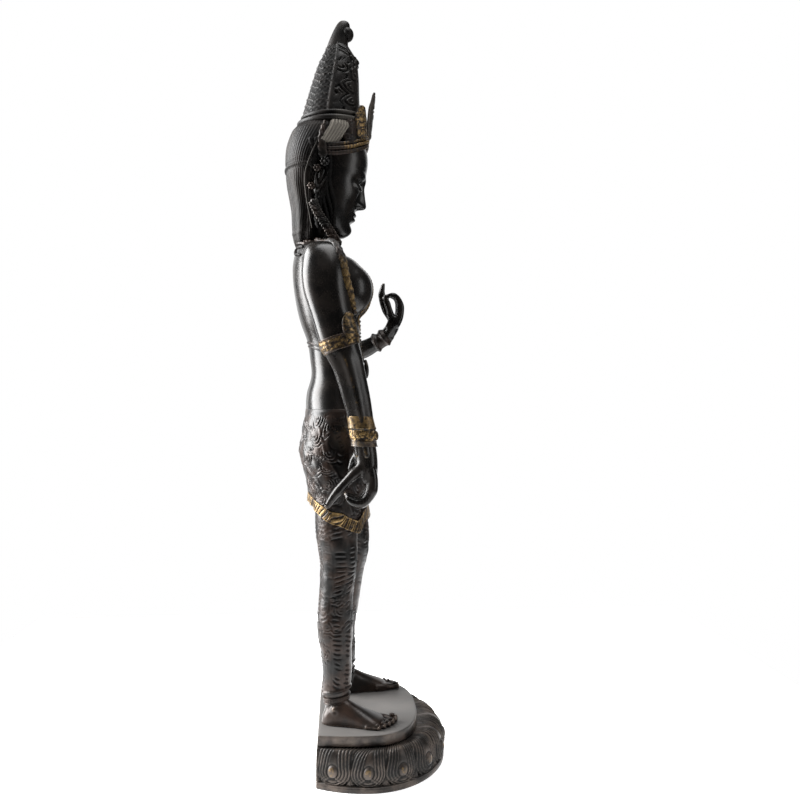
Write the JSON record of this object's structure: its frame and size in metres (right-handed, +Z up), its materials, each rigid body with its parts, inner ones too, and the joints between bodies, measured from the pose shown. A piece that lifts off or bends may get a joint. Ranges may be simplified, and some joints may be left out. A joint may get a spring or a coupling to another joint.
{
  "type": "tara statue",
  "caption": "Standing cast brass figure of Tara with tall crown, raised hand and wrapped garment, on a lotus petal base.",
  "frame": {"origin": "centre of the base's flat underside", "axes": "+Z up through the figure; the figure faces -Y and its right side is -X"},
  "size_m": [0.205, 0.183, 0.84],
  "materials": {
    "patinated_brass": "dark brown-black patina, glossy, with rubbed golden highlights on jewellery and hems",
    "worn_brass": "brown-grey patina, satin, worn warm on the petals"
  },
  "bodies": {
    "root": {"figure": "patinated_brass", "lotus_base": "worn_brass"}
  },
  "joints": []
}
